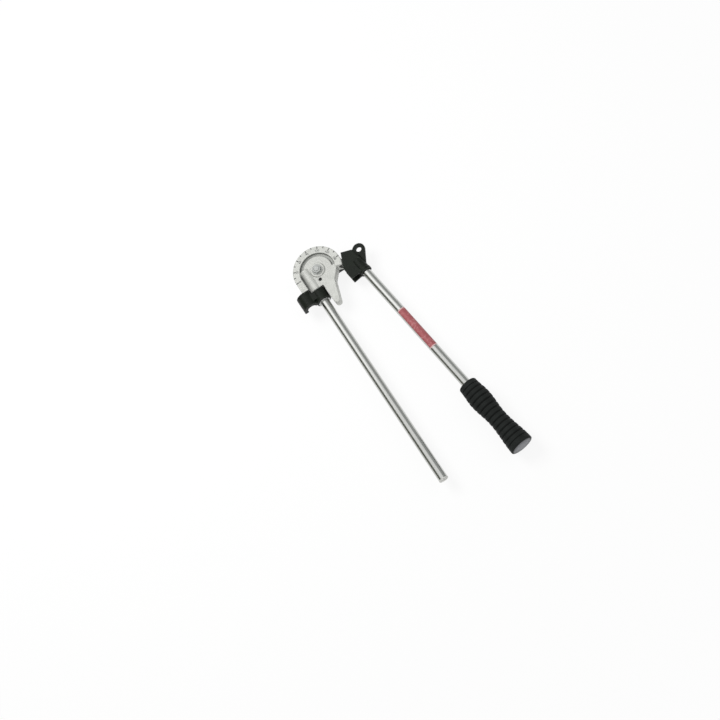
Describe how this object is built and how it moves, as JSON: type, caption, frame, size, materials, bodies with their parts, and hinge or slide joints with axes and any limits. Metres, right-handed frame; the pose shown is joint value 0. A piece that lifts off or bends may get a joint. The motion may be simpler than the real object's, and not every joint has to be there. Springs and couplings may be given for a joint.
{
  "type": "tube bender",
  "caption": "Lever tube bender: a grooved former with degree marks and a vise lug on a fixed handle, a hook latch, and a bending lever with a ribbed grip that turns about the former.",
  "frame": {"origin": "on the pivot axis, at the flat back face of the pivot bolt head, which lies on the bench", "axes": "+Z along the pivot axis towards the degree marks, -Y along the fixed handle, -X on the side where the tube is laid in"},
  "size_m": [0.165, 0.4342, 0.0393],
  "materials": {
    "cast_former": "fine blasted casting",
    "zinc_steel": "bright zinc",
    "plated_tube": "bright plated",
    "black_casting": "satin black",
    "black_screw": "black oxide",
    "bronze": "plain bearing bronze",
    "red_label": "plain printed film",
    "black_rubber": "moulded, ribbed",
    "grey_cap": "matte",
    "pale_plug": "matte"
  },
  "bodies": {
    "former_body": {"former": "cast_former", "pivot_bolt": "zinc_steel", "thrust_washers": "zinc_steel", "pivot_washer": "zinc_steel", "pivot_nut": "zinc_steel", "fixed_handle": "plated_tube", "fixed_handle_screw": "black_screw", "fixed_handle_plug": "pale_plug", "latch_washer": "zinc_steel", "latch_retaining_ring": "zinc_steel"},
    "latch": {"latch_hook": "black_casting"},
    "lever": {"lever_arm": "black_casting", "arm_bush": "bronze", "arm_screws": "black_screw", "lever_head": "black_casting", "lever_handle": "plated_tube", "lever_handle_screw": "black_screw", "label": "red_label", "grip": "black_rubber", "grip_end_cap": "grey_cap"}
  },
  "joints": [
    {"name": "lever_pivot", "type": "hinge", "parent": "former_body", "child": "lever", "pos_m": [0, 0, 0], "axis": [0, 0, 1], "range_deg": [-10, 173]},
    {"name": "latch_swing", "type": "hinge", "parent": "former_body", "child": "latch", "pos_m": [-0.0173, 0, 0.0218], "axis": [0, 1, 0], "range_deg": [0, 100]}
  ]
}
